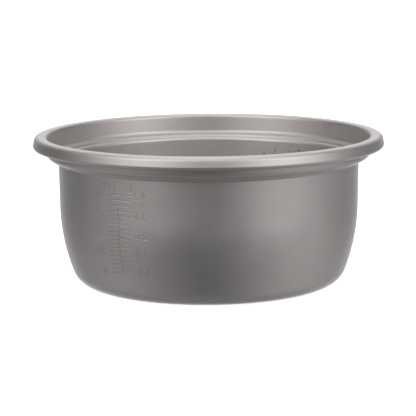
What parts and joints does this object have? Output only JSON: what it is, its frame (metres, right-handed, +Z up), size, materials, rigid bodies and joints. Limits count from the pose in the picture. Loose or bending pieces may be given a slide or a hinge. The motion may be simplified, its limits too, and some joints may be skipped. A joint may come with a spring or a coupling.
{
  "type": "rice cooker inner pan",
  "caption": "Inner cooking pan of a large rice cooker: drawn aluminium pan with a rolled rim, a stepped lid ledge and measuring scales pressed into the wall.",
  "frame": {"origin": "middle of the underside of the flat base, on the pan's axis", "axes": "+Z up along the pan's axis; -Y is the front as pictured, with one scale 34.6 degrees to its left and the other opposite it"},
  "size_m": [0.36, 0.36, 0.1527],
  "materials": {
    "satin_aluminium": "fine bead-blasted satin, the same inside and out"
  },
  "bodies": {
    "root": {"inner_pan": "satin_aluminium"}
  },
  "joints": []
}
